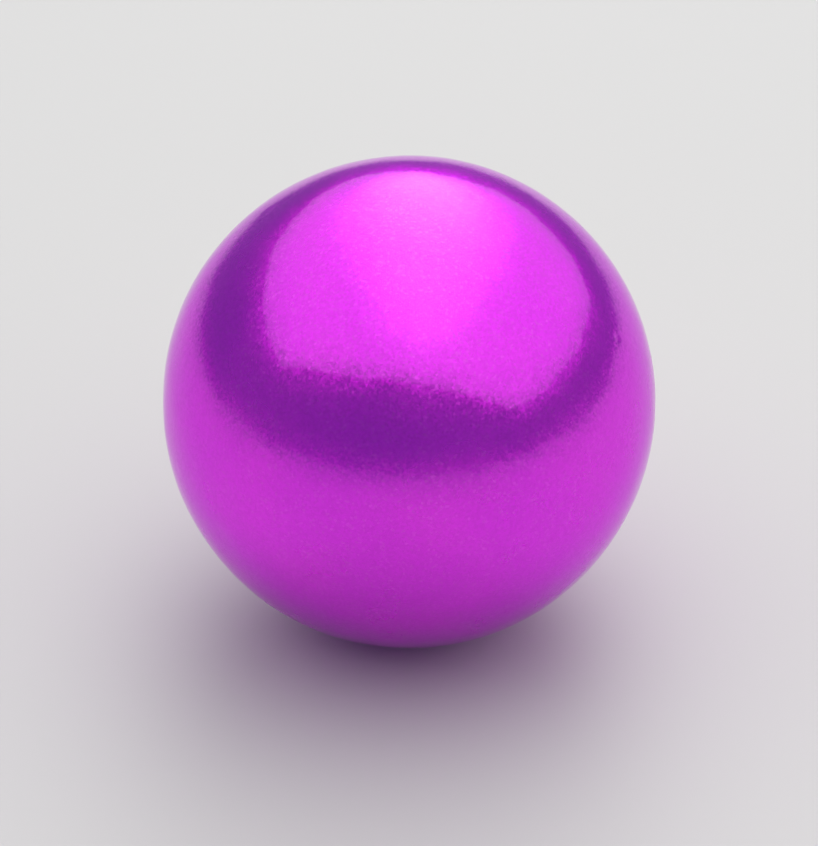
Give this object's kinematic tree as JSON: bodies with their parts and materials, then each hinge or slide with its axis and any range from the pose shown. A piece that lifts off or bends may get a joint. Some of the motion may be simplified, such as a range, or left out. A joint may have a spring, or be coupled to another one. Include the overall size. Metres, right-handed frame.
{
  "type": "sphere magnet",
  "caption": "Small ball-shaped magnet in glossy violet metallic lacquer; clings to other balls or to steel at its poles.",
  "frame": {"origin": "centre of the ball", "axes": "+Z along the direction of magnetisation, towards the north pole; X and Y are free, because the ball is the same all round"},
  "size_m": [0.005, 0.005, 0.005],
  "materials": {
    "lacquer": "glossy translucent violet lacquer with a fine pearl over bright plating"
  },
  "bodies": {
    "root": {"ball_magnet": "lacquer"}
  },
  "joints": []
}
